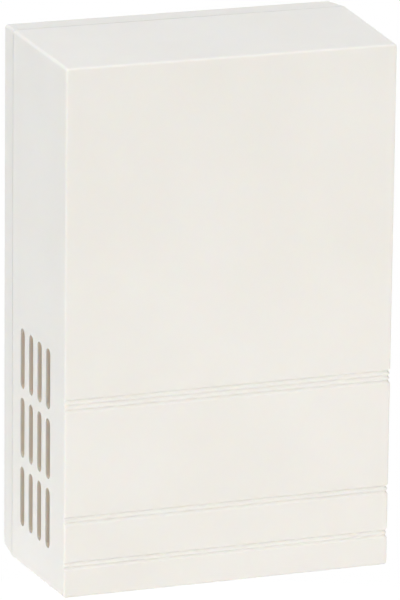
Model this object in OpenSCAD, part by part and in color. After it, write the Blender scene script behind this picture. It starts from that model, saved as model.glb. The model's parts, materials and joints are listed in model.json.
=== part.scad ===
// Wired two-note door chime in a wall-mounted box.
// X runs to the right, Y into the wall and Z up; the origin is the middle of the wall face.

/* [Cover] */
// Width of the front face
front_w = 113.5; // [106:0.5:140]
// Height of the front face
front_h = 178; // [174:1:210]
// Depth from the front face to the seam
cover_depth = 50; // [44:0.2:60]
// How far each side spreads from the front face to the seam
cover_draft = 1.4; // [0.5:0.05:2.5]
// Thickness of the side walls
cover_wall = 2.2; // [1.6:0.1:2.6]
// Thickness of the front wall
cover_front = 2.5; // [2:0.1:3.5]
// Radius of the rounded edges round the front face
edge_r = 0.8; // [0.5:0.1:1.5]
// How much rounder the four long corners are than those edges
corner_extra = 0.25; // [0.2:0.05:1]
// Height of the two ribs behind the front wall
rib_h = 4; // [2:0.5:6]
// Thickness of the ribs behind the front wall
rib_t = 1.5; // [1:0.1:2]
// Distance between the two ribs
rib_spacing = 80; // [60:1:100]

/* [Front grooves] */
// Depth of each groove
groove_depth = 0.55; // [0.4:0.05:0.8]
// Width of each groove at the surface
groove_w = 1.45; // [0.8:0.05:1.5]
// How far the notches at the right ends of the grooves run back round the corner
groove_wrap = 4; // [1.5:0.1:4.5]
// Depth of those notches
notch_depth = 1.7; // [0.8:0.05:1.8]
// Width of those notches
notch_w = 2.5; // [1.2:0.05:2.6]
// Height of the upper band above the bottom edge
upper_band_z = 65.4; // [55:0.1:80]
// Number of grooves in the upper band
upper_band_count = 3; // [2:1:4]
// Height of the middle band above the bottom edge
middle_band_z = 26.3; // [20:0.1:35]
// Height of the lower band above the bottom edge
lower_band_z = 10.95; // [8:0.05:14]
// Number of grooves in the middle and lower bands
low_band_count = 2; // [1:1:3]
// Step between grooves in the upper and middle bands
groove_pitch = 1.65; // [1.5:0.05:2]
// Step between grooves in the lower band
fine_groove_pitch = 1.5; // [1.5:0.05:2]

/* [Vents] */
// Width of a vent slot
vent_w = 4; // [3:0.1:5]
// Length of a vent slot
vent_len = 20.6; // [14:0.1:22]
// Wall left between slots of a row
vent_web = 4.1; // [3:0.05:5]
// Wall left between rows
vent_row_web = 3.2; // [3:0.05:6]
// Slots in a row
vent_columns = 4; // [2:1:4]
// Rows of slots
vent_rows = 3; // [1:1:3]
// Depth of the first column behind the front face
vent_first_y = 15.6; // [12:0.1:18]
// Height of the lowest row's middle above the bottom edge
vent_first_z = 22.9; // [18:0.1:30]

/* [Base tray] */
// Depth from the seam to the wall
base_depth = 11.2; // [10:0.1:14]
// How far the left and right sides narrow from the seam to the wall
side_taper = 1; // [0.3:0.05:1.5]
// How far the top and the bottom narrow from the seam to the wall
end_taper = 0.75; // [0.3:0.05:1.5]
// Thickness of the floor
floor_t = 2.5; // [2:0.1:3]
// Visible gap between cover and tray
seam_gap = 0.3; // [0.2:0.05:0.5]
// Height of the rim inside the cover
lip_h = 4; // [3:0.5:6]
// Thickness of that rim
lip_t = 1.8; // [1.2:0.1:2.4]
// Gap between the rim and the cover
lip_gap = 0.3; // [0.2:0.05:0.5]
// Height of the tongues above the rim
tongue_h = 5; // [3:0.5:8]
// Width of the tongues that hold the cover
tongue_w = 14; // [10:1:20]
// Distance between the tongues of one side
tongue_spacing = 60; // [50:1:70]
// Distance between the wall screws
screw_spacing = 120; // [114:1:124]
// Radius of the wall screw holes
wall_hole_r = 2.25; // [1.75:0.05:2.75]
// Radius of the cable entry
cable_hole_r = 7; // [5:0.5:8]

/* [Tone plates] */
// Gap between the tone plates and the terminal block
plate_foot_gap = 3.6; // [2:0.1:8]
// Free space above the tone plates
plate_head_gap = 11.9; // [6:0.1:16]
// Width of a tone plate
plate_w = 34; // [28:0.5:36]
// Thickness of a tone plate
plate_t = 2; // [1.5:0.1:3]
// Radius of the grommet holes in the plates
plate_hole_r = 4.5; // [4:0.1:5]
// Free way of a striker before it meets its plate
strike_gap = 4; // [3:0.1:5]
// Radius of the pins that carry the plates
post_pin_r = 2; // [1.5:0.1:2.2]

/* [Solenoids] */
// Length of the bobbins
bobbin_len = 36; // [32:0.5:40]
// Radius of the bobbin flanges
flange_r = 12.5; // [11.5:0.1:13]
// Thickness of the bobbin flanges
flange_t = 1.5; // [1:0.1:2]
// Wall of the bobbin tube
bobbin_wall = 1.2; // [0.8:0.1:1.6]
// Thickness of the copper winding
coil_t = 4.4; // [3:0.1:5]
// Thickness of the tape over the winding
tape_t = 0.3; // [0.2:0.05:0.5]
// Thickness of the yoke's steel
yoke_t = 1.6; // [1.2:0.1:2]
// Height of the bosses under the yokes
boss_h = 9.5; // [8:0.5:11]
// Radius of the plunger core
core_r = 4; // [3.5:0.1:4.5]
// Length of the plunger core
core_len = 36; // [32:1:38]
// Running gap round the core
core_gap = 0.08; // [0.05:0.01:0.1]
// Wall of the guide tube
guide_wall = 0.52; // [0.4:0.02:0.7]
// Radius of the striker noses
striker_r = 2.6; // [2:0.1:3]
// Length of the short striker's nose
nose_len = 2.5; // [2:0.1:4]
// Length of the return springs at rest
spring_len = 9.3; // [8.5:0.1:11]
// Wire diameter of the return springs
spring_wire = 0.7; // [0.5:0.05:0.8]
// Curls of a return spring
spring_curls = 5; // [4:1:6]

/* [Terminals] */
// Step between the terminals
terminal_pitch = 9; // [8:0.1:10]
// Length of the terminal block
block_len = 40; // [38:0.5:44]
// Width of the terminal block
block_w = 15; // [13:0.5:15.5]
// Height of the terminal block
block_h = 12; // [10:0.5:14]
// Diameter of the insulated leads
lead_d = 1.3; // [1:0.05:1.6]

/* [Hidden] */
$fn = 64;
// Overrun of every cut
cut = 1;
// Gap of pieces that seat loosely
seat = 0.3;
// Gap of pieces that seat closely
snug = 0.05;

// Main planes of the box
wall_y = 0;
floor_y = -floor_t;
seam_y = -base_depth;
front_y = -base_depth - cover_depth;
rim_y = seam_y - seam_gap;
corner_r = edge_r + corner_extra;
seam_w = front_w + 2 * cover_draft;
seam_h = front_h + 2 * cover_draft;
back_w = seam_w - 2 * side_taper;
back_h = seam_h - 2 * end_taper;
draft_share = cover_draft / cover_depth;
tongue_y = seam_y - lip_h - tongue_h;

// Inside of the tray, which clears the cover at the tip of the tongues
lip_inset = cover_wall + lip_gap + draft_share * (lip_h + tongue_h);
lip_w = seam_w - 2 * lip_inset;
lip_height = seam_h - 2 * lip_inset;
tray_w = lip_w - 2 * lip_t;
tray_h = lip_height - 2 * lip_t;
lip_r = corner_r + lip_t / 2;
arc_steps = 6;

// Terminal block in the lower left corner of the tray
block_gap = 0.65;
block_x = -tray_w / 2 + block_gap;
block_z = -tray_h / 2 + block_gap + block_gap;
lug_len = 6;
lug_h = 4;
block_mid_x = block_x + block_len / 2;
block_mid_z = block_z + block_w / 2;

// Tone plates between the terminal block and the top of the tray
plate_foot_z = block_z + block_w + plate_foot_gap;
plate_head_z = tray_h / 2 - plate_head_gap;
plate_len = plate_head_z - plate_foot_z;
mech_z = (plate_foot_z + plate_head_z) / 2;

// Solenoids, one above the other and centred on the plates
head_r = 3;
head_h = 2.2;
screw_r = 1.5;
ear_gap = 0.7;
solenoid_gap = 1;
ear_hole_z = flange_r + ear_gap + head_r;
ear_half = ear_hole_z + head_r + seat;
ear_w = 12;
solenoid_pitch = 2 * ear_half + solenoid_gap;
front_z = mech_z + solenoid_pitch / 2;
rear_z = mech_z - solenoid_pitch / 2;
web_y = floor_y - boss_h;
flange_gap = 0.4;
axis_y = web_y - yoke_t - flange_r - flange_gap;
yoke_half = flange_r + flange_gap;
bobbin_half = bobbin_len / 2;
yoke_x = bobbin_half + yoke_t;
guide_r_in = core_r + core_gap;
guide_r_out = guide_r_in + guide_wall;
tube_r = guide_r_out + snug;
coil_r = tube_r + bobbin_wall + snug;
tape_r = coil_r + coil_t + snug;
guide_rim_t = 0.8;
guide_rim_w = 1.6;
guide_rim_r = guide_r_out + guide_rim_w;
guide_end = 1.4;

// Plunger, from the spring seat on the left to the right tip
spring_x = -yoke_x - guide_rim_t;
cap_x = spring_x - spring_len - seat;
cap_t = 1.5;
cap_r = guide_rim_r;
tip_x = -cap_x + cap_t + nose_len;
core_end_x = cap_x + core_len;
spigot_r = 1.5;
spigot_len = 5;
nose_ball_r = 1.5 * striker_r;
plate_x = tip_x + strike_gap;

// Tone plate supports
plate_node_share = 0.224;
post_dz = plate_len * (0.5 - plate_node_share);
grommet_flange_t = 1.5;
grommet_flange_w = 1.7;
grommet_flange_r = plate_hole_r + grommet_flange_w;
grommet_groove = plate_t + 2 * snug;
grommet_half = grommet_flange_t + grommet_groove / 2;
grommet_x = plate_x + plate_t / 2;
post_x = grommet_x - grommet_half - seat;
post_t = 6;
post_w = 8;
gusset_t = 1.5;
peg_r = 2;
pin_end_x = grommet_x + grommet_half + seat;
barb_w = 0.7;
barb_r = post_pin_r + barb_w;
barb_len = 2;

// Felt stop of the rear plunger
pad_t = 1.5;
pad_gap = 1.8;
stop_x = cap_x - cap_t - pad_gap - pad_t;
stop_t = 2;
stop_w = 8;

// Fixing bosses
boss_r = 3.4;
pilot_r = screw_r + snug;
pilot_floor = 1;
peg_len = floor_t - pilot_floor - seat;
ear_hole_r = screw_r + seat;
pad_ring_r = 6;
pad_ring_h = 1;
cable_gap = 4;

// Terminals
terminal_xs = [for (i = [-1:1]) block_mid_x + i * terminal_pitch];
barrier_t = 2;
pocket_w = terminal_pitch - barrier_t;
pocket_h = 4.5;
pocket_back = 2;
pocket_y = floor_y - block_h + pocket_h;
clamp_t = 0.8;
clamp_w = pocket_w - 2 * seat;
clamp_len = block_w - 2 * pocket_back - seat;
terminal_r = 2.6;
terminal_head_h = 1.8;
terminal_shank = 5;
block_screw_r = 1.4;
block_head_r = 2.4;
block_head_h = 1.6;

// Coil pins in the left flanges
pin_r = 0.5;
pin_dy = 4;
pin_x = -bobbin_half + flange_t / 2;
pin_in = 3;
pin_out = 3;
pin_root = sqrt(flange_r * flange_r - pin_dy * pin_dy);
pin_tip = pin_root + pin_out;

// Leads
lead_sides = 8;
lead_steps = 4;
lead_lane = 2.4;
lead_step = 1.8;
lead_floor = 1.2;
lead_stub = 1.5 * lead_d;
lead_rise = 7;
lead_drop = 6;

// Spring wire
spring_clear = 0.45;
spring_r = core_r + spring_wire / 2 + spring_clear;
spring_rings = 8;
spring_sides = 6;

// Extrudes a drawing of the X-Z plane towards the front
module forward(y, len) {
    translate([0, y, 0]) rotate([90, 0, 0]) linear_extrude(len) children();
}

// Extrudes a drawing of the Y-Z plane to the right
module rightward(x, len) {
    translate([x, 0, 0]) rotate([90, 0, 90]) linear_extrude(len) children();
}

// Round bar along X, Y or Z
module bar_x(x, y, z, r, len) {
    translate([x, y, z]) rotate([0, 90, 0]) cylinder(r = r, h = len);
}

module bar_y(x, y, z, r, len) {
    translate([x, y, z]) rotate([90, 0, 0]) cylinder(r = r, h = len);
}

module bar_z(x, y, z, r, len) {
    translate([x, y, z]) cylinder(r = r, h = len);
}

module rounded_rect(w, h, r) {
    for (sx = [-1, 1], sz = [-1, 1])
        translate([sx * (w / 2 - r), sz * (h / 2 - r)]) circle(r);
    square([w - 2 * r, h], center = true);
    square([w, h - 2 * r], center = true);
}

// One rounded outline across the box, at depth y
function outline(y, w, h, r) = [
    for (q = [0:3], i = [0:arc_steps])
        let (a = 90 * (q + i / arc_steps),
             sx = q == 0 || q == 3 ? 1 : -1,
             sz = q < 2 ? 1 : -1)
        [sx * (w / 2 - r) + r * cos(a), y, sz * (h / 2 - r) + r * sin(a)]
];

// Solid through a row of outlines, listed from front to back as [y, w, h, r]
module lofted(stations) {
    n = 4 * (arc_steps + 1);
    last = len(stations) - 1;
    points = [for (s = stations) each outline(s[0], s[1], s[2], s[3])];
    sides = [for (j = [0:last - 1], i = [0:n - 1])
        [j * n + i, j * n + (i + 1) % n, (j + 1) * n + (i + 1) % n, (j + 1) * n + i]];
    front = [for (i = [n - 1:-1:0]) i];
    back = [for (i = [0:n - 1]) last * n + i];
    polyhedron(points, concat([front], sides, [back]));
}

// Width gained on both sides at a distance behind the front face
function spread(s) = 2 * draft_share * s;

module cover_outside() {
    lofted(concat(
        [for (i = [0:arc_steps])
            let (a = 90 * i / arc_steps, inset = edge_r * (1 - sin(a)))
            [front_y + edge_r * (1 - cos(a)), front_w + spread(edge_r) - 2 * inset,
             front_h + spread(edge_r) - 2 * inset, corner_r - inset]],
        [[rim_y, front_w + spread(rim_y - front_y), front_h + spread(rim_y - front_y), corner_r]]
    ));
}

module cover_inside() {
    inner_w = front_w - 2 * cover_wall;
    inner_h = front_h - 2 * cover_wall;
    deep = rim_y + cut - front_y;
    lofted([
        [front_y + cover_front, inner_w + spread(cover_front), inner_h + spread(cover_front), edge_r],
        [rim_y + cut, inner_w + spread(deep), inner_h + spread(deep), edge_r]
    ]);
}

// V-shaped bar along X that opens towards the front, with its root at the origin
module groove_bar(len, depth, w) {
    reach = depth + cut;
    half = w / 2 * reach / depth;
    rotate([90, 0, 90]) linear_extrude(len)
        polygon([[0, 0], [-reach, half], [-reach, -half]]);
}

// One groove across the front, with a deeper notch round the right corner
module groove(z) {
    edge_x = front_w / 2;
    slope = atan(notch_depth / groove_wrap);
    translate([-edge_x, front_y + groove_depth, z]) groove_bar(front_w, groove_depth, groove_w);
    translate([edge_x, front_y + groove_wrap, z]) rotate([0, 0, 90 - slope])
        mirror([1, 0, 0]) groove_bar(groove_wrap + notch_depth, notch_depth, notch_w);
}

module groove_band(z, count, pitch) {
    for (i = [0:count - 1])
        groove(-front_h / 2 + z + (i - (count - 1) / 2) * pitch);
}

module vent_slot(y, z) {
    straight = vent_len - vent_w;
    x = -seam_w / 2 - cut;
    for (end = [-1, 1]) bar_x(x, y, z + end * straight / 2, vent_w / 2, seam_w + 2 * cut);
    translate([x, y - vent_w / 2, z - straight / 2]) cube([seam_w + 2 * cut, vent_w, straight]);
}

module cover() color([0.93, 0.92, 0.89]) difference() {
    union() {
        difference() {
            cover_outside();
            cover_inside();
        }
        for (z = [-rib_spacing / 2, rib_spacing / 2])
            translate([-front_w / 2 + cover_wall / 2, front_y + cover_front / 2, z - rib_t / 2])
                cube([front_w - cover_wall, rib_h + cover_front / 2, rib_t]);
    }
    groove_band(upper_band_z, upper_band_count, groove_pitch);
    groove_band(middle_band_z, low_band_count, groove_pitch);
    groove_band(lower_band_z, low_band_count, fine_groove_pitch);
    for (c = [0:vent_columns - 1], r = [0:vent_rows - 1])
        vent_slot(front_y + vent_first_y + c * (vent_w + vent_web),
                  -front_h / 2 + vent_first_z + r * (vent_len + vent_row_web));
}

// Post pegged into the tray's floor, with the pin that carries one end of a tone plate
module plate_post() {
    top_y = axis_y - post_w / 2;
    translate([post_x - post_t, top_y, -post_w / 2]) cube([post_t, floor_y - top_y, post_w]);
    rightward(post_x - post_t - gusset_t, gusset_t + snug)
        polygon([[floor_y, -post_w], [floor_y, post_w], [axis_y, gusset_t], [axis_y, -gusset_t]]);
    bar_y(post_x - post_t / 2, floor_y + peg_len, 0, peg_r, peg_len + snug);
    bar_x(post_x - snug, axis_y, 0, post_pin_r, pin_end_x - post_x + snug);
    translate([pin_end_x, axis_y, 0]) rotate([0, 90, 0])
        rotate_extrude() polygon([[0, 0], [barb_r, 0], [barb_r, barb_len / 4],
                                  [post_pin_r / 2, barb_len], [0, barb_len]]);
}

module plate_post_places() {
    for (side = [0, 1], s = [-1, 1])
        mirror([side, 0, 0]) translate([0, 0, mech_z + s * post_dz]) children();
}

module plate_posts() color([0.94, 0.93, 0.90]) plate_post_places() plate_post();

module wall_screw_places() {
    for (z = [-screw_spacing / 2, screw_spacing / 2]) translate([0, 0, z]) children();
}

module solenoid_screw_places() {
    for (zc = [front_z, rear_z], s = [-1, 1]) translate([0, 0, zc + s * ear_hole_z]) children();
}

module block_screw_places() {
    for (x = [block_x + lug_len / 2, block_x + block_len - lug_len / 2])
        translate([x, 0, block_mid_z]) children();
}

cable_x = wall_hole_r + cable_gap + cable_hole_r;

module base_tray() color([0.92, 0.91, 0.87]) difference() {
    union() {
        difference() {
            lofted([[seam_y, seam_w, seam_h, corner_r], [wall_y, back_w, back_h, corner_r]]);
            forward(floor_y, base_depth) rounded_rect(tray_w, tray_h, lip_r - lip_t / 2);
        }
        forward(floor_y + snug, base_depth - floor_t + snug + lip_h) difference() {
            rounded_rect(lip_w, lip_height, lip_r);
            rounded_rect(tray_w, tray_h, lip_r - lip_t / 2);
        }
        for (sz = [-1, 1], sx = [-1, 1])
            translate([sx * tongue_spacing / 2 - tongue_w / 2, tongue_y,
                       sz * (lip_height - lip_t) / 2 - lip_t / 2])
                cube([tongue_w, seam_y - tongue_y, lip_t]);
        translate([stop_x - stop_t, axis_y - stop_w / 2, rear_z - stop_w / 2])
            cube([stop_t, floor_y - axis_y + stop_w / 2 + snug, stop_w]);
        solenoid_screw_places() bar_y(0, floor_y + snug, 0, boss_r, boss_h + snug);
        wall_screw_places() bar_y(0, floor_y + snug, 0, pad_ring_r, pad_ring_h + snug);
    }
    solenoid_screw_places() bar_y(0, -pilot_floor, 0, pilot_r, floor_t + boss_h + cut);
    wall_screw_places() bar_y(0, wall_y + cut, 0, wall_hole_r, floor_t + pad_ring_h + 2 * cut);
    block_screw_places() bar_y(0, -pilot_floor, 0, block_screw_r + snug, floor_t + cut);
    plate_post_places() bar_y(post_x - post_t / 2, -pilot_floor, 0, peg_r + snug, floor_t + cut);
    bar_y(cable_x, wall_y + cut, block_mid_z, cable_hole_r, floor_t + 2 * cut);
}

module tone_plate(side) color([0.72, 0.73, 0.75]) difference() {
    x = side * (plate_x + plate_t / 2) - plate_t / 2;
    translate([x, axis_y - plate_w / 2, mech_z - plate_len / 2]) cube([plate_t, plate_w, plate_len]);
    for (s = [-1, 1]) bar_x(x - cut, axis_y, mech_z + s * post_dz, plate_hole_r, plate_t + 2 * cut);
}

module tone_plate_left() tone_plate(-1);

module tone_plate_right() tone_plate(1);

module grommet() {
    neck_r = plate_hole_r - snug;
    bore_r = post_pin_r + seat;
    rotate([0, 90, 0]) rotate_extrude() polygon([
        [bore_r, -grommet_half], [grommet_flange_r, -grommet_half],
        [grommet_flange_r, -grommet_groove / 2], [neck_r, -grommet_groove / 2],
        [neck_r, grommet_groove / 2], [grommet_flange_r, grommet_groove / 2],
        [grommet_flange_r, grommet_half], [bore_r, grommet_half]
    ]);
}

module plate_grommets() color([0.13, 0.13, 0.13])
    for (side = [-1, 1], s = [-1, 1])
        translate([side * grommet_x, axis_y, mech_z + s * post_dz]) grommet();

// Bent steel strip: a web on the bosses and an upright plate at each end of the coil
module yoke(zc) color([0.66, 0.67, 0.69]) difference() {
    union() {
        translate([-yoke_x, web_y - yoke_t, zc - yoke_half]) cube([2 * yoke_x, yoke_t, 2 * yoke_half]);
        translate([-ear_w / 2, web_y - yoke_t, zc - ear_half]) cube([ear_w, yoke_t, 2 * ear_half]);
        for (x = [-yoke_x, bobbin_half])
            translate([x, axis_y - yoke_half, zc - yoke_half])
                cube([yoke_t, web_y - axis_y + yoke_half, 2 * yoke_half]);
    }
    bar_x(-yoke_x - cut, axis_y, zc, guide_r_out + snug, 2 * (yoke_x + cut));
    for (s = [-1, 1]) bar_y(0, web_y + cut, zc + s * ear_hole_z, ear_hole_r, yoke_t + 2 * cut);
}

module front_yoke() yoke(front_z);

module rear_yoke() yoke(rear_z);

module bobbin(zc) color([0.90, 0.88, 0.80]) difference() {
    translate([0, axis_y, zc]) rotate([0, 90, 0]) rotate_extrude() polygon([
        [tube_r, -bobbin_half], [flange_r, -bobbin_half], [flange_r, -bobbin_half + flange_t],
        [coil_r - snug, -bobbin_half + flange_t], [coil_r - snug, bobbin_half - flange_t],
        [flange_r, bobbin_half - flange_t], [flange_r, bobbin_half], [tube_r, bobbin_half]
    ]);
    for (s = [-1, 1])
        bar_z(pin_x, axis_y + s * pin_dy, zc - pin_root - cut, pin_r + snug, pin_in + cut);
}

module front_bobbin() bobbin(front_z);

module rear_bobbin() bobbin(rear_z);

// Plain sleeve round the solenoid's axis
module sleeve(zc, r_in, r_out, half) {
    translate([0, axis_y, zc]) rotate([0, 90, 0]) rotate_extrude()
        polygon([[r_in, -half], [r_out, -half], [r_out, half], [r_in, half]]);
}

module coil(zc) color([0.72, 0.42, 0.22])
    sleeve(zc, coil_r, coil_r + coil_t, bobbin_half - flange_t - snug);

module front_coil() coil(front_z);

module rear_coil() coil(rear_z);

module coil_tape(zc) color([0.90, 0.78, 0.35])
    sleeve(zc, tape_r, tape_r + tape_t, bobbin_half - flange_t - seat);

module front_coil_tape() coil_tape(front_z);

module rear_coil_tape() coil_tape(rear_z);

module guide_tube(zc) color([0.85, 0.70, 0.38])
    translate([0, axis_y, zc]) rotate([0, 90, 0]) rotate_extrude() polygon([
        [guide_r_in, spring_x], [guide_rim_r, spring_x], [guide_rim_r, -yoke_x],
        [guide_r_out, -yoke_x], [guide_r_out, yoke_x + guide_end], [guide_r_in, yoke_x + guide_end]
    ]);

module front_guide_tube() guide_tube(front_z);

module rear_guide_tube() guide_tube(rear_z);

module core(zc) color([0.60, 0.61, 0.63]) difference() {
    bar_x(cap_x, axis_y, zc, core_r, core_len);
    bar_x(cap_x - cut, axis_y, zc, spigot_r + snug, spigot_len + seat + cut);
    bar_x(core_end_x - spigot_len - seat, axis_y, zc, spigot_r + snug, spigot_len + seat + cut);
}

module front_core() core(front_z);

module rear_core() core(rear_z);

// Nylon cap on the core's left end: the spring bears on its flange
module spring_cap(zc, nose) color([0.94, 0.93, 0.90]) {
    bar_x(cap_x - cap_t, axis_y, zc, cap_r, cap_t);
    bar_x(cap_x - snug, axis_y, zc, spigot_r, spigot_len + snug);
    if (nose) intersection() {
        bar_x(cap_x - cap_t - nose_len, axis_y, zc, striker_r, nose_len + snug);
        translate([cap_x - cap_t - nose_len + nose_ball_r, axis_y, zc]) sphere(nose_ball_r);
    }
}

module front_striker_left() spring_cap(front_z, true);

module rear_spring_cap() spring_cap(rear_z, false);

// Nylon rod from the core's right end to the right plate
module striker(zc) color([0.94, 0.93, 0.90]) {
    bar_x(core_end_x - spigot_len, axis_y, zc, spigot_r, spigot_len + snug);
    intersection() {
        bar_x(core_end_x, axis_y, zc, striker_r, tip_x - core_end_x);
        union() {
            translate([tip_x - nose_ball_r, axis_y, zc]) sphere(nose_ball_r);
            bar_x(core_end_x, axis_y, zc, striker_r, tip_x - core_end_x - nose_ball_r);
        }
    }
}

module front_striker_right() striker(front_z);

module rear_striker() striker(rear_z);

function unit(v) = v / norm(v);

// Direction of a path at point i
function heading(path, i) =
    unit((i < len(path) - 1 ? path[i + 1] : path[i]) - (i > 0 ? path[i - 1] : path[i]));

// Tube of flat sides along a path; each ring turns from the last without twist
module tube(path, r, sides, first_normal) {
    n = len(path);
    normals = [for (i = 0, v = first_normal; i < n; i = i + 1,
        v = i < n ? unit(v - heading(path, i) * (v * heading(path, i))) : v) v];
    points = [for (i = [0:n - 1]) let (t = heading(path, i),
            u = unit(normals[i] - t * (normals[i] * t)), w = cross(t, u))
        each [for (k = [0:sides - 1]) let (a = 360 * k / sides) path[i] + r * (cos(a) * u + sin(a) * w)]];
    skin = [for (i = [0:n - 2], k = [0:sides - 1])
        let (a = i * sides + k, b = i * sides + (k + 1) % sides)
        each [[a, b, b + sides], [a, b + sides, a + sides]]];
    start = [for (k = [1:sides - 2]) [0, k + 1, k]];
    finish = [for (k = [1:sides - 2]) [(n - 1) * sides, (n - 1) * sides + k, (n - 1) * sides + k + 1]];
    mirrored = concat(start, skin, finish);
    polyhedron(points, [for (f = mirrored) [f[2], f[1], f[0]]]);
}

// Points of a return spring, from the guide tube's rim to the cap
function spring_path() =
    let (stub = spring_wire,
         turns = spring_len - 4 * stub,
         n = spring_curls * spring_rings,
         curls = [for (i = [0:n]) let (a = 360 * i / spring_rings)
             [spring_x - 2 * stub - turns * i / n, spring_r * cos(a), spring_r * sin(a)]])
    concat([[spring_x, spring_r, 0], [spring_x - stub, spring_r, 0]], curls,
           [[spring_x - spring_len + stub, spring_r, 0], [spring_x - spring_len, spring_r, 0]]);

// Least gap of the wire to itself, between points at least half a curl apart
spring_self_gap = min([
    let (p = spring_path())
    for (i = [0:len(p) - 1], j = [0:len(p) - 1]) if (j - i > spring_rings / 2) norm(p[j] - p[i])
]) - spring_wire;
echo(spring_self_gap = spring_self_gap);

module spring(zc) color([0.75, 0.76, 0.78]) translate([0, axis_y, zc])
    tube(spring_path(), spring_wire / 2, spring_sides, [0, 1, 0]);

module front_spring() spring(front_z);

module rear_spring() spring(rear_z);

module rear_stop_pad() color([0.35, 0.30, 0.26])
    translate([stop_x, axis_y - stop_w / 2 + seat, rear_z - stop_w / 2 + seat])
        cube([pad_t, stop_w - 2 * seat, stop_w - 2 * seat]);

module coil_pins() color([0.85, 0.70, 0.38])
    for (zc = [front_z, rear_z], s = [-1, 1])
        bar_z(pin_x, axis_y + s * pin_dy, zc - pin_tip, pin_r, pin_in + pin_out - snug);

// Slotted round-headed screw that points into the wall, its head resting at y
module screw(y, r, len, big_r, head) {
    difference() {
        bar_y(0, y, 0, big_r, head);
        translate([-big_r - cut, y - head - cut, -head / 8])
            cube([2 * (big_r + cut), head / 2 + cut, head / 4]);
    }
    bar_y(0, y + len, 0, r, len + snug);
}

module solenoid_screws() color([0.70, 0.71, 0.73])
    solenoid_screw_places()
        screw(web_y - yoke_t, screw_r, yoke_t + boss_h, head_r, head_h);

module terminal_block() color([0.36, 0.22, 0.13]) difference() {
    union() {
        translate([block_x, floor_y - lug_h, block_z + pocket_back])
            cube([block_len, lug_h, block_w - 2 * pocket_back]);
        translate([block_x + lug_len, floor_y - block_h, block_z])
            cube([block_len - 2 * lug_len, block_h, block_w]);
    }
    for (x = terminal_xs) {
        translate([x - pocket_w / 2, pocket_y - pocket_h - cut, block_z + pocket_back])
            cube([pocket_w, pocket_h + cut, block_w]);
        bar_y(x, pocket_y + terminal_shank, block_mid_z, screw_r + snug, terminal_shank + cut);
    }
    block_screw_places() bar_y(0, floor_y + cut, 0, block_screw_r + snug, lug_h + 2 * cut);
}

module terminal_clamps() color([0.80, 0.63, 0.30])
    for (x = terminal_xs) difference() {
        translate([x - clamp_w / 2, pocket_y - clamp_t, block_z + pocket_back + seat])
            cube([clamp_w, clamp_t, clamp_len]);
        bar_y(x, pocket_y + cut, block_mid_z, screw_r + seat, clamp_t + 2 * cut);
    }

module terminal_screws() color([0.80, 0.63, 0.30])
    for (x = terminal_xs) translate([x, 0, block_mid_z])
        screw(pocket_y - clamp_t, screw_r, clamp_t + terminal_shank - seat, terminal_r, terminal_head_h);

module block_screws() color([0.70, 0.71, 0.73])
    block_screw_places()
        screw(floor_y - lug_h, block_screw_r, lug_h + floor_t - pilot_floor - seat,
              block_head_r, block_head_h);

// Smooth run of points through a route, with a straight stub at both ends
function smooth(route) = let (last = len(route) - 1) concat([route[0]], [
    for (i = [1:last - 2])
        let (p0 = route[i - 1], p1 = route[i], p2 = route[i + 1], p3 = route[i + 2])
        for (k = [0:lead_steps - 1])
            let (t = k / lead_steps)
            (2 * p1 + (p2 - p0) * t + (2 * p0 - 5 * p1 + 4 * p2 - p3) * t * t
                + (3 * p1 - p0 - 3 * p2 + p3) * t * t * t) / 2
], [route[last - 1], route[last]]);

// Lead from terminal place x, along the floor in its own lane, up to the tip of a coil pin
module lead(x, lane, zc, side) {
    start_y = pocket_y - lead_d / 2 - snug;
    start_z = block_z + pocket_back + seat + clamp_len + snug;
    top_z = block_z + block_w;
    low_y = floor_y - lead_d / 2 - lead_floor;
    lane_x = -bobbin_half + flange_t + lane * lead_lane;
    end_y = axis_y + side * pin_dy;
    end_z = zc - pin_tip;
    rise = lead_rise + (side < 0 ? lead_lane : 0);
    drop_z = top_z + lead_drop + (3 - lane) * lead_step;
    turn_z = rear_z - pin_tip - lead_rise - 2 * lead_lane - lane * lead_step;
    tube(smooth(concat([
        [x, start_y, start_z],
        [x, start_y, top_z + lead_d / 2],
        [x, (start_y + low_y) / 2, top_z + lead_drop / 2],
        [x, low_y, drop_z],
        [(x + lane_x) / 2, low_y, (drop_z + turn_z) / 2],
        [lane_x, low_y, turn_z]
    ], zc == front_z ? [[lane_x, low_y, rear_z], [lane_x, low_y, end_z - rise - lead_lane]] : [], [
        [lane_x, low_y - lead_lane, end_z - rise],
        [side < 0 ? lane_x : pin_x, (low_y + end_y) / 2, end_z - rise / 2 - lead_stub / 2],
        [pin_x, end_y + lead_stub / 2, end_z - lead_stub - lead_stub / 2],
        [pin_x, end_y, end_z - lead_stub],
        [pin_x, end_y, end_z - snug]
    ])), lead_d / 2, lead_sides, [1, 0, 0]);
}

module rear_lead() color([0.16, 0.25, 0.55]) lead(terminal_xs[0], 0, rear_z, 1);

module rear_common_lead() color([0.90, 0.90, 0.88]) lead(terminal_xs[1] - lead_d, 1, rear_z, -1);

module front_common_lead() color([0.90, 0.90, 0.88]) lead(terminal_xs[1] + lead_d, 2, front_z, -1);

module front_lead() color([0.75, 0.16, 0.12]) lead(terminal_xs[2], 3, front_z, 1);

cover();
base_tray();
plate_posts();
tone_plate_left();
tone_plate_right();
plate_grommets();
front_yoke();
rear_yoke();
front_bobbin();
rear_bobbin();
front_coil();
rear_coil();
front_coil_tape();
rear_coil_tape();
front_guide_tube();
rear_guide_tube();
front_core();
rear_core();
front_striker_left();
front_striker_right();
rear_spring_cap();
rear_striker();
front_spring();
rear_spring();
rear_stop_pad();
coil_pins();
solenoid_screws();
terminal_block();
terminal_clamps();
terminal_screws();
block_screws();
front_lead();
rear_lead();
front_common_lead();
rear_common_lead();
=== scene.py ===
import json

import bmesh
import bpy
import numpy as np
from mathutils import Matrix, Vector


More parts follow.
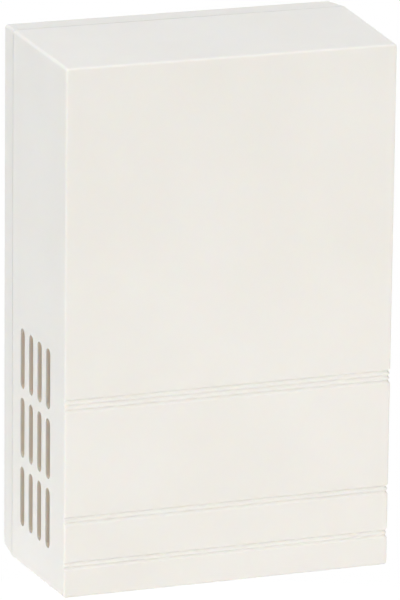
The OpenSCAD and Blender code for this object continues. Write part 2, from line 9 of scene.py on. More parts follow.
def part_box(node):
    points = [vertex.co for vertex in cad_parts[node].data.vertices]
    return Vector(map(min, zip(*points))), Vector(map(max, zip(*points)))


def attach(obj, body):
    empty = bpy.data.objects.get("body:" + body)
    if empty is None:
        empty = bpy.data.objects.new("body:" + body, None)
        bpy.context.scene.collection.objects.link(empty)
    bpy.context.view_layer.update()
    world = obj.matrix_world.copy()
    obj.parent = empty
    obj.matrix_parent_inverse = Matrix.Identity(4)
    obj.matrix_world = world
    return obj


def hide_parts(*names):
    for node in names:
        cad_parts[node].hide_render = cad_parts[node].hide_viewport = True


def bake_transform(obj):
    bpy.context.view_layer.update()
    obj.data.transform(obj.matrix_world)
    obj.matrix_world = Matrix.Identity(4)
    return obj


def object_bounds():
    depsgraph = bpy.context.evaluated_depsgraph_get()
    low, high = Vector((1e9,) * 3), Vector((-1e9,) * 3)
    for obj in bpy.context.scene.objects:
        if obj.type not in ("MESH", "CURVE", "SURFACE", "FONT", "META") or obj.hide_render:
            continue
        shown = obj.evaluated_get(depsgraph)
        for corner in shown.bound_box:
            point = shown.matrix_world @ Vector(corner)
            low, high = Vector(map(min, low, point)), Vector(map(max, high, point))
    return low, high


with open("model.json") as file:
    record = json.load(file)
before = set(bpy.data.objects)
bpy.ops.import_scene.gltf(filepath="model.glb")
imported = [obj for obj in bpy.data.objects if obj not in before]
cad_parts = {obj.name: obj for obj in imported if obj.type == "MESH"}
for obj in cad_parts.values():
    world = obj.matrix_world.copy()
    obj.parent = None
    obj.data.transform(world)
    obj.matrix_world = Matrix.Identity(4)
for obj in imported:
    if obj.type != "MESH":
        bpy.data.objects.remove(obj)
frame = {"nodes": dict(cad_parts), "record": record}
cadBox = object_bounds()
nodes = frame["nodes"]
slotOf = {part["node"]: part["material_slot"] for part in frame["record"]["subparts"]}
bodyOf = {name: body for body, names in frame["record"]["behaviour"]["bodies"].items() for name in names}
print("frame loaded:", len(nodes), "nodes")

camera = {
    "place": (-0.654199, -1.818932, 0.545804),    # fitted to the outline of the box in the photograph
    "right": (0.94004984, -0.34085846, 0.01103629),
    "up": (0.08409349, 0.26303939, 0.96111319),
    "sensor": 36.0,
    "lens": 360.0,                                # 6000 px for the picture's 600 px side
    "near": 0.05,
    "far": 60.0,
}


def link(name, data):
    obj = bpy.data.objects.new(name, data)
    bpy.context.scene.collection.objects.link(obj)
    return obj


def makeCamera(v):
    data = bpy.data.cameras.new("photoCamera")
    data.lens = v["lens"]
    data.sensor_width = v["sensor"]
    data.sensor_fit = "AUTO"
    data.clip_start = v["near"]
    data.clip_end = v["far"]
    obj = link("photoCamera", data)
    right, up = Vector(v["right"]), Vector(v["up"])
    turn = Matrix((right, up, right.cross(up))).transposed().to_4x4()
    turn.translation = Vector(v["place"])
    obj.matrix_world = turn
    bpy.context.scene.camera = obj


makeCamera(camera)
print("camera made")

wornEdge = {"samples": 4, "flat": 0.995, "sharp": 0.80}    # cosines between which an edge counts as worn


class Graph:
    # short way to build a node tree: each call adds a node and returns it or its output

    def __init__(self, tree):
        self.tree = tree

    def add(self, kind, inputs=(), operation=None, dataType=None):
        # inputs gives each named or numbered socket a fixed value or another node's output
        node = self.tree.nodes.new("ShaderNode" + kind)
        if operation:
            node.operation = operation
        if dataType:
            node.data_type = dataType
        for key, value in dict(inputs).items():
            socket = node.inputs[key]
            if hasattr(value, "is_output"):
                self.tree.links.new(value, socket)
            elif socket.type == "RGBA":
                socket.default_value = (*value, 1.0)
            else:
                socket.default_value = value
        return node

    def place(self):
        return self.add("TexCoord").outputs["Object"]

    def noise(self, scale, detail=4.0, rough=0.5, stretch=None):
        place = self.place()
        if stretch:
            place = self.add("Mapping", {"Vector": place, "Scale": stretch}).outputs[0]
        inputs = {"Vector": place, "Scale": scale, "Detail": detail, "Roughness": rough}
        return self.add("TexNoise", inputs).outputs["Fac"]

    def ramp(self, value, low, high, a=0.0, b=1.0):
        inputs = {"Value": value, "From Min": low, "From Max": high, "To Min": a, "To Max": b}
        return self.add("MapRange", inputs).outputs[0]

    def blend(self, share, a, b):
        return self.add("Mix", {0: share, 6: a, 7: b}, dataType="RGBA").outputs[2]

    def calc(self, operation, a, b=0.0):
        return self.add("Math", {0: a, 1: b}, operation=operation).outputs[0]

    def edges(self, v, width, share):
        # share of a worn edge: how far a softened normal turns from the true one
        soft = self.add("Bevel", {"Radius": width})
        soft.samples = v["samples"]
        true = self.add("NewGeometry").outputs["Normal"]
        dot = self.add("VectorMath", {0: soft.outputs[0], 1: true}, operation="DOT_PRODUCT")
        return self.ramp(dot.outputs["Value"], v["flat"], v["sharp"], 0.0, share)

    def seen(self):
        # 1 for what the camera sees straight, mirrored or through something, and 0 for other rays
        path = self.add("LightPath")
        total = path.outputs["Is Camera Ray"]
        for key in ("Is Glossy Ray", "Is Transmission Ray"):
            both = self.add("Math", {0: total, 1: path.outputs[key]}, operation="ADD")
            both.use_clamp = True
            total = both.outputs[0]
        return total

    def surface(self, height, depth, inputs):
        # principled surface with a fine relief
        relief = self.add("Bump", {"Height": height, "Distance": depth, "Strength": 1.0})
        shader = self.add("BsdfPrincipled", {**inputs, "Normal": relief.outputs[0]})
        self.add("OutputMaterial", {"Surface": shader.outputs[0]})


def startMaterial(name):
    mat = bpy.data.materials.new(name)
    mat.use_nodes = True
    mat.node_tree.nodes.clear()
    return mat, Graph(mat.node_tree)


moulding = {                        # the ivory plastic of the cover and the tray
    "coverColor": (0.875, 0.865, 0.825),
    "coverShade": (0.860, 0.848, 0.803),
    "trayColor": (0.860, 0.850, 0.812),
    "trayShade": (0.845, 0.832, 0.790),
    "cloudScale": 24.0,             # size of the faint clouds that blend color and shade
    "cloudFrom": 0.35,
    "cloudTo": 0.65,
    "roughness": 0.42,
    "rubScale": 70.0,               # rubbed patches are smoother than that, and dull ones rougher
    "rubFrom": 0.35,
    "rubTo": 0.70,
    "rubSmoother": 0.05,
    "rubRougher": 0.07,
    "grain": 2600.0,
    "grainDepth": 1.6e-5,
    "swellScale": 160.0,            # slow swell of the surface under the grain
    "swellShare": 0.6,
    "index": 1.46,
    "softShare": 0.35,
    "softReach": (1.0, 0.72, 0.45),
    "softDepth": 0.0011,            # how far light spreads inside the plastic, in metres
}
vents = {                           # where the walls of the side vents are, in metres, for the warm bounce light painted on them
    "tint": (1.14, 1.00, 0.87),     # painted warm bounce light: the factor on those shaded walls' colour
    "wallHalf": 0.0583,             # half width between the side walls at the seam with the tray
    "seamY": -0.0115,
    "draft": 0.028,                 # how much that half width loses for each metre in front of the seam
    "skinFrom": 0.00025,
    "skinTo": 0.0009,
    "wallDepth": 0.0021,
    "topZ": -0.004,
    "frontY": -0.0502,
}


def paintedBounceShare(g, v):
    # share of painted warm bounce light: 1 a little under the drafted side wall's skin, low down and behind
    # the front, and 0 elsewhere
    x, y, z = g.add("SeparateXYZ", {0: g.place()}).outputs
    wall = g.calc("ADD", g.calc("MULTIPLY", y, v["draft"]), v["wallHalf"] - v["draft"] * v["seamY"])
    under = g.calc("SUBTRACT", wall, g.calc("ABSOLUTE", x))
    skin = g.ramp(under, v["skinFrom"], v["skinTo"])
    inWall = g.calc("MULTIPLY", skin, g.calc("LESS_THAN", under, v["wallDepth"]))
    low = g.calc("LESS_THAN", z, v["topZ"])
    back = g.calc("GREATER_THAN", y, v["frontY"])
    return g.calc("MULTIPLY", g.calc("MULTIPLY", inWall, low), back)


def ivory(name, color, shade, v, slots=None):
    mat, g = startMaterial(name)
    cloud = g.ramp(g.noise(v["cloudScale"], detail=3.0), v["cloudFrom"], v["cloudTo"])
    base = g.blend(cloud, color, shade)
    # painted warm bounce light: the shaded vent walls are lightened and warmed in their colour
    if slots:
        paintedBounceColor = tuple(a * b for a, b in zip(color, slots["tint"]))
        base = g.blend(paintedBounceShare(g, slots), base, paintedBounceColor)
    rub = g.ramp(g.noise(v["rubScale"], detail=5.0, rough=0.6), v["rubFrom"], v["rubTo"],
                 v["roughness"] - v["rubSmoother"], v["roughness"] + v["rubRougher"])
    swell = g.calc("MULTIPLY", g.noise(v["swellScale"]), v["swellShare"])
    height = g.calc("ADD", g.noise(v["grain"], detail=3.0, rough=0.6), swell)
    g.surface(height, v["grainDepth"], {
        "Base Color": base, "Roughness": rub, "IOR": v["index"], "Subsurface Weight": v["softShare"],
        "Subsurface Radius": v["softReach"], "Subsurface Scale": v["softDepth"]})
    return mat


plainPlastic = {                    # what the small plastic, rubber, felt and tape pieces have in common
    "cloudScale": 60.0,
    "cloudFrom": 0.35,
    "cloudTo": 0.65,
    "speckScale": 900.0,
    "speckFrom": 0.66,
    "speckTo": 0.74,
    "speckShade": 0.55,
    "edgeWidth": 0.00035,
    "edgeShare": 0.35,
    "edgeGain": 1.12,
    "edgeLift": 0.03,
    "rubScale": 90.0,
    "rubFrom": 0.3,
    "rubTo": 0.7,
    "rub": 0.06,
    "softShare": 0.4,
    "softReach": (1.0, 0.8, 0.5),
}


def plastic(name, color, shade, rough, grain=2200.0, depth=2.0e-5, specks=0.0, soft=0.0, v=plainPlastic):
    mat, g = startMaterial(name)
    cloud = g.ramp(g.noise(v["cloudScale"], detail=3.0), v["cloudFrom"], v["cloudTo"])
    base = g.blend(cloud, color, shade)
    if specks:
        share = g.ramp(g.noise(v["speckScale"], detail=2.0), v["speckFrom"], v["speckTo"], 0.0, specks)
        base = g.blend(share, base, tuple(v["speckShade"] * c for c in color))
    worn = tuple(min(1.0, v["edgeGain"] * c + v["edgeLift"]) for c in color)
    base = g.blend(g.edges(wornEdge, v["edgeWidth"], v["edgeShare"]), base, worn)
    rub = g.ramp(g.noise(v["rubScale"]), v["rubFrom"], v["rubTo"], rough - v["rub"], rough + v["rub"])
    inputs = {"Base Color": base, "Roughness": rub}
    if soft:
        inputs |= {"Subsurface Weight": v["softShare"], "Subsurface Radius": v["softReach"],
                   "Subsurface Scale": soft}
    g.surface(g.noise(grain, detail=3.0, rough=0.6), depth, inputs)
    return mat


plainMetal = {                      # what the metals have in common
    "brushScale": 700.0,
    "brushFrom": 0.3,
    "brushTo": 0.7,
    "brushRough": 0.08,
    "brushDepth": 1.5e-5,
    "patchScale": 45.0,             # dull patches
    "patchFrom": 0.42,
    "patchTo": 0.68,
    "patchShare": 0.35,
    "patchRough": 0.25,
    "edgeWidth": 0.0003,
    "edgeShare": 0.5,
    "edgeGain": 1.15,
}


def metal(name, color, dark, rough, streak=(1.0, 1.0, 1.0), v=plainMetal):
    mat, g = startMaterial(name)
    brushed = g.noise(v["brushScale"], detail=5.0, rough=0.6, stretch=streak)
    patch = g.noise(v["patchScale"], detail=5.0, rough=0.6)
    patch = g.ramp(patch, v["patchFrom"], v["patchTo"], 0.0, v["patchShare"])
    base = g.blend(patch, color, dark)
    worn = tuple(min(1.0, v["edgeGain"] * c) for c in color)
    base = g.blend(g.edges(wornEdge, v["edgeWidth"], v["edgeShare"]), base, worn)
    fine = g.ramp(brushed, v["brushFrom"], v["brushTo"], rough - v["brushRough"], rough + v["brushRough"])
    dull = g.calc("ADD", fine, g.calc("MULTIPLY", patch, v["patchRough"]))
    g.surface(brushed, v["brushDepth"], {"Base Color": base, "Roughness": dull, "Metallic": 1.0})
    return mat


finishes = {                        # name, color, second color, roughness, then grain or way of brushing
    "cover": ivory("coverPlastic", moulding["coverColor"], moulding["coverShade"], moulding, slots=vents),
    "tray": ivory("trayPlastic", moulding["trayColor"], moulding["trayShade"], moulding),
    "plate_steel": metal("platedSteel", (0.56, 0.51, 0.43), (0.42, 0.375, 0.31), 0.38, (1.0, 1.0, 0.04)),
    "grommet_rubber": plastic("grommetRubber", (0.030, 0.029, 0.028), (0.050, 0.048, 0.046), 0.72,
                              900.0, 4.0e-5),
    "yoke_steel": metal("zincSteel", (0.47, 0.48, 0.49), (0.36, 0.37, 0.385), 0.46, (0.05, 1.0, 1.0)),
    "nylon": plastic("naturalNylon", (0.80, 0.77, 0.68), (0.74, 0.70, 0.60), 0.40, 1500.0, soft=0.0012),
    "copper_wire": metal("enamelledCopper", (0.60, 0.27, 0.12), (0.36, 0.15, 0.07), 0.28, (1.0, 0.1, 0.1)),
    "coil_tape": plastic("yellowTape", (0.72, 0.50, 0.12), (0.62, 0.41, 0.09), 0.30, 600.0),
    "brass": metal("brass", (0.58, 0.42, 0.17), (0.42, 0.29, 0.11), 0.36),
    "core_steel": metal("turnedIron", (0.44, 0.43, 0.42), (0.30, 0.285, 0.27), 0.38, (1.0, 0.05, 0.05)),
    "spring_steel": metal("springWire", (0.45, 0.45, 0.47), (0.30, 0.30, 0.32), 0.30),
    "felt": plastic("pressedFelt", (0.23, 0.19, 0.15), (0.30, 0.26, 0.21), 0.95, 1400.0, 1.5e-4),
    "screw_steel": metal("zincScrews", (0.42, 0.43, 0.45), (0.31, 0.31, 0.325), 0.38),
    "block_plastic": plastic("brownPhenolic", (0.16, 0.080, 0.040), (0.11, 0.055, 0.028), 0.34,
                             1200.0, specks=0.3),
    "red_lead": plastic("redSleeving", (0.52, 0.035, 0.025), (0.42, 0.028, 0.020), 0.38, 1200.0),
    "blue_lead": plastic("blueSleeving", (0.030, 0.075, 0.33), (0.022, 0.055, 0.25), 0.38, 1200.0),
    "white_lead": plastic("whiteSleeving", (0.78, 0.77, 0.73), (0.70, 0.69, 0.64), 0.38, 1200.0),
}


def dressNodes():
    for name, obj in nodes.items():
        finish = finishes[slotOf[name]]
        if not obj.material_slots:
            obj.data.materials.append(finish)
        for part in obj.material_slots:
            part.material = finish


dressNodes()
print("materials made")


def pointOutwards(mesh, join=0.0, flat=0.0):
    # merges doubled points, dissolves the lines inside flat faces and turns closed shells' faces outwards
    bm = bmesh.new()
    bm.from_mesh(mesh)
    if join:
        bmesh.ops.remove_doubles(bm, verts=bm.verts, dist=join)
    if flat:
        bmesh.ops.dissolve_limit(bm, angle_limit=flat, verts=bm.verts, edges=bm.edges)
    bmesh.ops.recalc_face_normals(bm, faces=bm.faces)
    bm.to_mesh(mesh)
    bm.free()
    mesh.update()


sharpAngle = 0.7                    # in radians, from which an edge of a made piece is shaded sharp


def putMesh(name, points, faces, node):
    # points in millimetres; the piece stands for the CAD node
    mesh = bpy.data.meshes.new(name)
    mesh.from_pydata((np.asarray(points, float) / 1000.0).tolist(), [], faces)
    pointOutwards(mesh)
    mesh.shade_smooth()
    mesh.set_sharp_from_angle(angle=sharpAngle)
    mesh.materials.append(finishes[slotOf[node]])
    obj = link(name, mesh)
    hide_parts(node)
    return obj


def sheetFaces(rows, cols):
    # four-sided faces of a grid whose columns close into a ring
    i, j = np.meshgrid(np.arange(rows - 1), np.arange(cols), indexing="ij")
    a, b = i * cols + j, i * cols + (j + 1) % cols
    return np.stack([a, b, b + cols, a + cols], -1).reshape(-1, 4).tolist()


def unit(v):
    return v / np.linalg.norm(v, axis=-1, keepdims=True)


def tubeAlong(path, radius, sides, guide):
    # rings of the given radius round each path point, square to the path's direction; both ends closed
    path = np.asarray(path, float)
    way = unit(np.gradient(path, axis=0))
    guide = np.broadcast_to(guide, path.shape)
    u = unit(guide - way * (guide * way).sum(-1, keepdims=True))
    w = np.cross(way, u)
    turn = np.linspace(0, 2 * np.pi, sides, endpoint=False)[None, :, None]
    rings = path[:, None] + radius * (np.cos(turn) * u[:, None] + np.sin(turn) * w[:, None])
    last = (len(path) - 1) * sides
    caps = [list(range(sides))[::-1], list(range(last, last + sides))]
    return rings.reshape(-1, 3), sheetFaces(len(path), sides) + caps


def turned(profile, centre, steps, ripple=None):
    # closed profile of (x, radius) pairs carried once round an axis along X through the centre
    profile = np.asarray(profile, float)
    n = len(profile)
    turn = np.linspace(0, 2 * np.pi, steps, endpoint=False)
    x, r = (np.repeat(profile[:, k:k + 1], steps, 1) for k in (0, 1))
    if ripple is not None:
        r = r + ripple(x, turn[None, :])
    points = np.stack([x, r * np.cos(turn), r * np.sin(turn)], -1) + np.asarray(centre, float)
    i, j = np.meshgrid(np.arange(n), np.arange(steps), indexing="ij")
    a, b = i * steps + j, i * steps + (j + 1) % steps
    c, d = ((i + 1) % n) * steps + (j + 1) % steps, ((i + 1) % n) * steps + j
    return points.reshape(-1, 3), np.stack([a, d, c, b], -1).reshape(-1, 4).tolist()


axisY = -26.5                       # depth of both solenoid axes, in millimetres
middle = {                          # height of each solenoid's axis, in millimetres
    "front": float((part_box("front_core")[0][2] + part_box("front_core")[1][2]) * 500.0),
    "rear": float((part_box("rear_core")[0][2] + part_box("rear_core")[1][2]) * 500.0),
}

spring = {
    "start": -20.4,
    "length": 9.3,
    "radius": 4.8,
    "wire": 0.35,
    "curls": 3.5,                   # open turns
    "closed": 0.75,                 # closed turns at each end
    "closedPitch": 2.06,            # pitch of the closed turns, in radii of the wire
    "gap": 0.02,                    # room between the end turns and what they press on
    "fit": 0.995,                   # share of the room that the wire fills
    "perTurn": 28,                  # path points in each turn
    "sides": 10,
}


def makeSpring(which, v):
    # helix of wire: a closed end at both sides and an even pitch between them
    total = v["curls"] + 2 * v["closed"]
    u = np.linspace(0, total, int(total * v["perTurn"]) + 1)
    end = v["closedPitch"] * v["wire"]
    free = v["length"] - 2 * v["wire"]
    pitch = (free - 2 * v["closed"] * end) / v["curls"]
    along = np.interp(u, [0, v["closed"], total - v["closed"], total],
                      [0, v["closed"] * end, v["closed"] * end + v["curls"] * pitch, free])
    turn = 2 * np.pi * u
    out = np.stack([0 * u, np.cos(turn), np.sin(turn)], -1)
    path = out * v["radius"] + np.array([v["start"] - v["wire"] - v["gap"], axisY, middle[which]])
    path[:, 0] -= along * v["fit"]
    points, faces = tubeAlong(path, v["wire"], v["sides"], out)
    node = which + "_spring"
    obj = putMesh(which + "SpringWire", points, faces, node)
    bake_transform(obj)


for which in ("front", "rear"):
    makeSpring(which, spring)
print("springs made")


def makeSleeve(name, node, which, v, x, ripple):
    # closed sleeve on a solenoid's axis: a plain bore, and an outer skin at the points x that ripple moves
    bore = [[v["half"], v["inner"]], [-v["half"], v["inner"]]]
    profile = np.concatenate([bore, np.stack([x, 0 * x + v["outer"]], -1)])
    skin = np.arange(len(profile))[:, None] >= len(bore)
    points, faces = turned(profile, (0, axisY, middle[which]), v["steps"],
                           lambda a, t: np.where(skin, ripple(a, t), 0.0))
    obj = putMesh(name, points, faces, node)
    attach(obj, "tray")


winding = {
    "inner": 5.92,
    "outer": 10.28,
    "half": 16.4,
    "pitch": 0.48,                  # from one turn of wire to the next
    "dip": 0.09,                    # depth of the groove between turns
    "perPitch": 6,                  # profile points in each pitch
    "steps": 40,
}
tape = {
    "inner": 10.36,
    "outer": 10.62,
    "half": 16.15,
    "lap": 0.10,                    # thickness of one layer
    "lapAt": 2.3,                   # angle of the tape's end, in radians
    "lapSlope": 0.006,              # how much that angle changes for each millimetre along the coil
    "wave": 0.035,
    "waveRate": 1.9,
    "swayCount": 3,
    "sway": 2.0,
    "points": 60,
    "steps": 96,
}


def makeCoil(which, v):
    # bundle of wire: the outer radius dips between turns that climb one pitch each time round
    turns = int(2 * v["half"] / v["pitch"])
    x = np.linspace(-v["half"], v["half"], turns * v["perPitch"] + 1)

    def dip(a, t):
        return -v["dip"] * (1 - np.abs(np.cos(np.pi * a / v["pitch"] - t / 2)))

    makeSleeve(which + "Winding", which + "_coil", which, v, x, dip)


def makeTape(which, v):
    # wrapped tape: the radius drops by one layer past the lap, over a faint wave of the wire below
    x = np.linspace(-v["half"], v["half"], v["points"])

    def layer(a, t):
        past = (t - v["lapAt"] - v["lapSlope"] * a) % (2 * np.pi)
        wave = np.sin(a * v["waveRate"] + v["sway"] * np.sin(v["swayCount"] * t))
        return -v["lap"] * past / (2 * np.pi) - v["wave"] * (0.5 + 0.5 * wave)

    makeSleeve(which + "TapeWrap", which + "_coil_tape", which, v, x, layer)


for which in ("front", "rear"):
    makeCoil(which, winding)
    makeTape(which, tape)
print("coils made")

grommet = {
    "bore": 2.3,
    "neck": 4.45,
    "lip": 6.2,
    "grooveHalf": 1.05,
    "half": 2.55,
    "round": 0.55,                  # radius of the lips' rims
    "bendPoints": 6,
    "steps": 40,
}


def makeGrommets(v):
    # rubber ring: a neck in the plate's hole between two lips with rounded rims
    b, n, l, g, h, r = v["bore"], v["neck"], v["lip"], v["grooveHalf"], v["half"], v["round"]
    bend = np.linspace(0, np.pi / 2, v["bendPoints"])

    def corner(x, radius, sideX, sideR):
        return np.stack([x + sideX * r * np.cos(bend), radius + sideR * r * np.sin(bend)], -1)

    right = np.concatenate([[[g, n]], corner(g + r, l - r, -1, 1), corner(h - r, l - r, 1, 1)[::-1],
                            corner(h - r, b + r, 1, -1)])
    left = right[::-1] * (-1, 1)
    profile = np.concatenate([left, right])[::-1]
    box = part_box("plate_grommets")
    xs = [float(box[0][0]) * 1000 + h, float(box[1][0]) * 1000 - h]
    zs = [float(box[0][2]) * 1000 + l, float(box[1][2]) * 1000 - l]
    points, faces = [], []
    for x in xs:
        for z in zs:
            p, f = turned(profile, (x, axisY, z), v["steps"])
            faces += (np.asarray(f) + sum(len(q) for q in points)).tolist()
            points.append(p)
    obj = putMesh("rubberGrommets", np.concatenate(points), faces, "plate_grommets")
    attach(obj, "tray")


makeGrommets(grommet)
print("grommets made")

lead = {
    "ends": (-41.948, -34.248, -31.648, -23.948),    # x of the wires under their clamps, lane by lane
    "radius": 0.65,
    "steps": 12,                    # path points for each span of the route
    "sides": 12,
    "startY": -10.7,
    "startZ": -71.498,
    "topZ": -69.548,                # top of the terminal block
    "lowY": -4.35,                  # just over the tray's floor
    "laneX": -16.5,
    "lane": 2.4,
    "stagger": 1.8,
    "drop": 6.0,
    "rise": 7.0,
    "stub": 1.95,
    "tipGap": 0.05,
    "pinX": -17.25,
    "pinAside": 4.0,
    "pinTip": 14.8427,              # from the solenoid's axis down to the tips of its pins
}


def smoothRun(route, steps):
    # each span between two route points is a cubic that passes through both; the end spans are straight
    p = np.asarray(route, float)
    t = (np.arange(steps) / steps)[None, :, None]
    p0, p1, p2, p3 = (p[k:len(p) - 3 + k, None] for k in range(4))
    run = (2 * p1 + (p2 - p0) * t + (2 * p0 - 5 * p1 + 4 * p2 - p3) * t ** 2
           + (3 * p1 - p0 - 3 * p2 + p3) * t ** 3) / 2
    return np.concatenate([p[:1], run.reshape(-1, 3), p[-2:]])


def plainName(node):
    # rear_common_lead becomes rearCommonLead
    return "".join(word.capitalize() if i else word for i, word in enumerate(node.split("_")))


def makeLead(node, lane, which, side, v):
    # the CAD lead's route: over the block, along the floor in its lane, up to the coil's pin
    x, laneX, low, stub = v["ends"][lane], v["laneX"] + lane * v["lane"], v["lowY"], v["stub"]
    rise = v["rise"] + (v["lane"] if side < 0 else 0.0)
    dropZ = v["topZ"] + v["drop"] + (len(v["ends"]) - 1 - lane) * v["stagger"]
    turnZ = middle["rear"] - v["pinTip"] - v["rise"] - 2 * v["lane"] - lane * v["stagger"]
    endY, endZ = axisY + side * v["pinAside"], middle[which] - v["pinTip"]
    route = [(x, v["startY"], v["startZ"]),
             (x, v["startY"], v["topZ"] + v["radius"]),
             (x, (v["startY"] + low) / 2, v["topZ"] + v["drop"] / 2),
             (x, low, dropZ),
             ((x + laneX) / 2, low, (dropZ + turnZ) / 2),
             (laneX, low, turnZ)]
    if which == "front":
        route += [(laneX, low, middle["rear"]),
                  (laneX, low, endZ - rise - v["lane"])]
    route += [(laneX, low - v["lane"], endZ - rise),
              (laneX if side < 0 else v["pinX"], (low + endY) / 2, endZ - rise / 2 - stub / 2),
              (v["pinX"], endY + stub / 2, endZ - 1.5 * stub),
              (v["pinX"], endY, endZ - stub),
              (v["pinX"], endY, endZ - v["tipGap"])]
    path = smoothRun(route, v["steps"])
    points, faces = tubeAlong(path, v["radius"], v["sides"], np.array([1.0, 0.0, 0.0]))
    obj = putMesh(plainName(node) + "Sleeve", points, faces, node)
    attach(obj, "tray")


for node, lane, which, side in (("rear_lead", 0, "rear", 1), ("rear_common_lead", 1, "rear", -1),
                                ("front_common_lead", 2, "front", -1), ("front_lead", 3, "front", 1)):
    makeLead(node, lane, which, side, lead)
print("leads made")

felt = {
    "steps": 48,
    "corner": 0.22,                 # the lower, the squarer the block
    "fuzz": 0.045,                  # height of the ruffles
    "waves": (41, 37),              # ruffles across the pad's width and height
    "bends": (3, 17, 2),            # how far and how often those ruffles wander
}


def makeFelt(v):
    # rounded block: powers of sine and cosine below one square up a ball, and waves ruffle its skin
    low, high = (np.array(c) * 1000 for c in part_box("rear_stop_pad"))
    mid, half = (low + high) / 2, (high - low) / 2 - v["fuzz"]
    a = np.linspace(-np.pi / 2, np.pi / 2, v["steps"] // 2 + 1)[1:-1]
    b = np.linspace(-np.pi, np.pi, v["steps"], endpoint=False)
    a, b = np.meshgrid(a, b, indexing="ij")

    def power(s):
        return np.sign(s) * np.abs(s) ** v["corner"]

    flat = power(np.cos(a))
    skin = np.stack([power(np.sin(a)), flat * power(np.cos(b)), flat * power(np.sin(b))], -1)
    y, z = skin[..., 1], skin[..., 2]
    ruffle = (np.sin(v["waves"][0] * y + v["bends"][0] * np.sin(v["bends"][1] * z))
              * np.sin(v["waves"][1] * z + v["bends"][2] * y))
    points = (mid + skin * (half + v["fuzz"] * ruffle[..., None])).reshape(-1, 3)
    n = len(points)
    poles = mid + np.array([[-half[0], 0, 0], [half[0], 0, 0]])
    ring = np.arange(v["steps"])
    last = n - v["steps"] + ring
    caps = np.concatenate([np.stack([ring, np.roll(ring, -1), np.full_like(ring, n)], -1),
                           np.stack([last, np.roll(last, -1), np.full_like(last, n + 1)], -1)]).tolist()
    faces = sheetFaces(a.shape[0], v["steps"]) + caps
    obj = putMesh("feltPad", np.concatenate([points, poles]), faces, "rear_stop_pad")
    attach(obj, "tray")


makeFelt(felt)
print("felt pad made")

softEdge = {                        # width of the rounds on metal, nylon and phenolic edges, in millimetres
    "front_yoke": 0.25, "rear_yoke": 0.25,
    "tone_plate_left": 0.35, "tone_plate_right": 0.35,
    "plate_posts": 0.25,
    "front_bobbin": 0.25, "rear_bobbin": 0.25,
    "front_guide_tube": 0.12, "rear_guide_tube": 0.12,
    "front_core": 0.2, "rear_core": 0.2,
    "front_striker_left": 0.2, "front_striker_right": 0.2,
    "rear_spring_cap": 0.2, "rear_striker": 0.2,
    "coil_pins": 0.12, "solenoid_screws": 0.18,
    "terminal_block": 0.3, "terminal_clamps": 0.12, "terminal_screws": 0.18, "block_screws": 0.15,
}
rounding = {
    "join": 2.0e-6,                 # points closer than this are one, in metres
    "flat": 0.004,                  # faces that turn less than this are one, in radians
    "sharp": 0.6,                   # edges that turn more than this are rounded
    "segments": 2,
}


def roundEdges(node, width, v):
    # copy of the CAD node's mesh, joined up, with a narrow round along every sharp edge
    name = plainName(node) + "Soft"
    mesh = nodes[node].data.copy()
    mesh.name = name
    pointOutwards(mesh, join=v["join"], flat=v["flat"])
    mesh.shade_smooth()
    mesh.set_sharp_from_angle(angle=v["sharp"])
    obj = link(name, mesh)
    bevel = obj.modifiers.new("edges", "BEVEL")
    bevel.width = width / 1000
    bevel.segments = v["segments"]
    bevel.limit_method = "ANGLE"
    bevel.angle_limit = v["sharp"]
    bevel.harden_normals = True
    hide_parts(node)
    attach(obj, bodyOf[node])


for node, width in softEdge.items():
    roundEdges(node, width, rounding)
print("edges rounded:", len(softEdge))

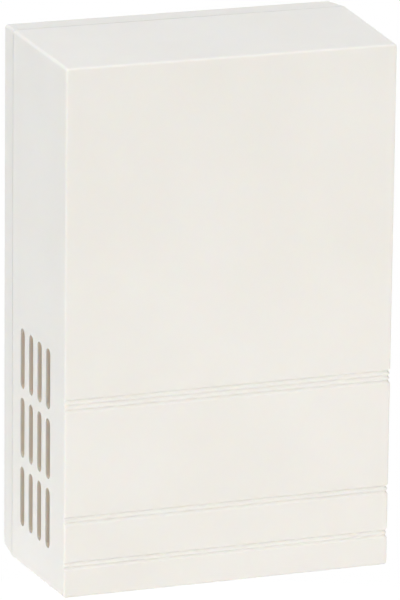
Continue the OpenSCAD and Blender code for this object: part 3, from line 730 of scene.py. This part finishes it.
studio = {
    "sky": (0.189, 0.189, 0.189),   # what the white surroundings give the object
    "white": (1.0, 1.0, 1.0),
    "floorDrop": 0.26,              # the box hangs on its wall this far above the floor
    "floorHalf": 30.0,
    "floorColor": (0.80, 0.80, 0.80),
    "seenColor": (2.0, 2.0, 2.0),   # the floor as the camera sees it, white but for the shadow
    "fadeFrom": 0.3,                # metres from the middle where the seen floor starts to turn plain white
    "fadeTo": 0.8,
    "aim": (0.0, -0.03, 0.0),       # where every lamp points
    "lamps": [                      # name, place, size, power and colour in one
        ("keyLamp", (0.2, -1.9, 1.9), 1.0, (20.2, 20.0, 19.8)),
        ("leftLamp", (-2.2, -0.6, 0.6), 1.6, (24.8, 24.9, 25.1)),
        ("topLamp", (-0.2, -0.2, 2.4), 1.4, (21.9, 21.9, 22.5)),
        ("rightLamp", (2.3, -0.5, 0.0), 1.2, (10.0, 10.0, 10.0)),
        ("backLamp", (0.9, 2.1, -0.21), 0.2, (22.0, 22.0, 22.0)),
        ("lowLamp", (-0.06, -0.62, -0.34), 0.3, (0.80, 0.77, 0.74)),
        ("lowRightLamp", (0.45, -0.8, -0.30), 0.4, (1.50, 1.34, 1.18)),
        ("lowSideLamp", (-0.13, -0.03, -0.165), 0.06, (0.021, 0.0195, 0.0185)),
    ],
}


def makeWorld(v):
    world = bpy.data.worlds.new("studio")
    bpy.context.scene.world = world
    world.use_nodes = True
    g = Graph(world.node_tree)
    back = world.node_tree.nodes["Background"]
    world.node_tree.links.new(g.blend(g.seen(), v["sky"], v["white"]), back.inputs["Color"])


def makeFloor(v):
    z, h = cadBox[0][2] - v["floorDrop"], v["floorHalf"]
    mesh = bpy.data.meshes.new("studioFloor")
    mesh.from_pydata([(-h, -h, z), (h, -h, z), (h, h, z), (-h, h, z)], [], [(0, 1, 2, 3)])
    floor = link("studioFloor", mesh)
    mat, g = startMaterial("floorWhite")
    matt = g.add("BsdfDiffuse", {"Color": g.blend(g.seen(), v["floorColor"], v["seenColor"])})
    glow = g.add("Emission", {"Color": v["white"], "Strength": 1.0})
    far = g.add("VectorMath", {0: g.place()}, operation="LENGTH").outputs["Value"]
    share = g.calc("MULTIPLY", g.seen(), g.ramp(far, v["fadeFrom"], v["fadeTo"]))
    both = g.add("MixShader", {0: share, 1: matt.outputs[0], 2: glow.outputs[0]})
    g.add("OutputMaterial", {"Surface": both.outputs[0]})
    mesh.materials.append(mat)


def makeLamp(name, place, size, power, aim):
    data = bpy.data.lights.new(name, "AREA")
    data.shape = "DISK"
    data.size = size
    data.energy = max(power)
    data.color = tuple(p / max(power) for p in power)
    lamp = link(name, data)
    lamp.location = place
    lamp.rotation_euler = (Vector(aim) - Vector(place)).to_track_quat("-Z", "Y").to_euler()
    lamp.visible_camera = False


makeWorld(studio)
makeFloor(studio)
for lamp in studio["lamps"]:
    makeLamp(*lamp, studio["aim"])
bpy.context.scene.view_settings.view_transform = "Standard"
print("studio made")
